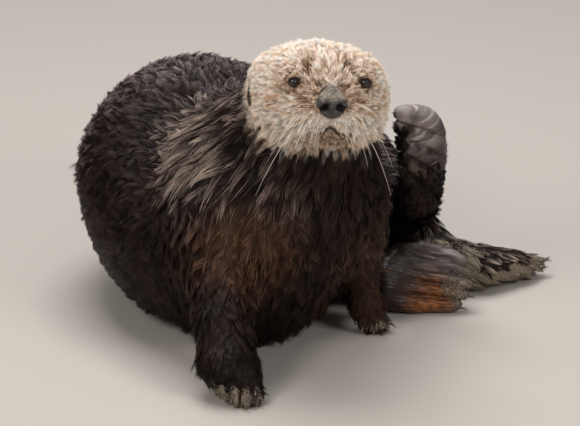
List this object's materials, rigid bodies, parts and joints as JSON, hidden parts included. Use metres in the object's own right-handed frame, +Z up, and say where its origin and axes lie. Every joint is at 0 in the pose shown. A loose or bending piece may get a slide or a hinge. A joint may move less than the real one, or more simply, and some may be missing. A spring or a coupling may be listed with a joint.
{
  "type": "sea otter",
  "caption": "Still, life-size sea otter sitting curled to its left, facing ahead, with one hind foot lifted beside the neck and the tail laid out behind.",
  "frame": {"origin": "middle of the base of the bounding box, on the ground", "axes": "+Z up; the animal faces -Y; +X is towards its left, the side it curls to"},
  "size_m": [0.5172, 0.5922, 0.3543],
  "materials": {
    "coat": "wet dark brown fur in spiky locks, near black on the back, russet on the chest and forelegs, bare grey-brown soles",
    "face_coat": "short grizzled cream fur, tan round the eyes and on the cheeks",
    "nose_skin": "bare dark grey skin, pebbled, dusted with sand",
    "eye": "wet and near black",
    "claw": "pale horn"
  },
  "bodies": {
    "root": {"chest": "coat", "ear_left": "coat", "ear_right": "coat", "eye_left": "eye", "eye_right": "eye", "head": "face_coat", "left_fore_claw_1": "claw", "left_fore_claw_2": "claw", "left_fore_claw_3": "claw", "left_fore_claw_4": "claw", "left_fore_claw_5": "claw", "left_forearm": "coat", "left_forepaw": "coat", "left_hind_claw_1": "claw", "left_hind_claw_2": "claw", "left_hind_claw_3": "claw", "left_hind_claw_4": "claw", "left_hind_claw_5": "claw", "left_hind_foot": "coat", "left_shank": "coat", "left_upper_foreleg": "coat", "loin": "coat", "neck": "coat", "nose_pad": "nose_skin", "ribs": "coat", "right_fore_claw_1": "claw", "right_fore_claw_2": "claw", "right_fore_claw_3": "claw", "right_fore_claw_4": "claw", "right_fore_claw_5": "claw", "right_forearm": "coat", "right_forepaw": "coat", "right_hind_claw_1": "claw", "right_hind_claw_2": "claw", "right_hind_claw_3": "claw", "right_hind_claw_4": "claw", "right_hind_claw_5": "claw", "right_hind_foot": "coat", "right_shank": "coat", "right_upper_foreleg": "coat", "rump": "coat", "tail_base": "coat", "tail_tip": "coat"}
  },
  "joints": []
}
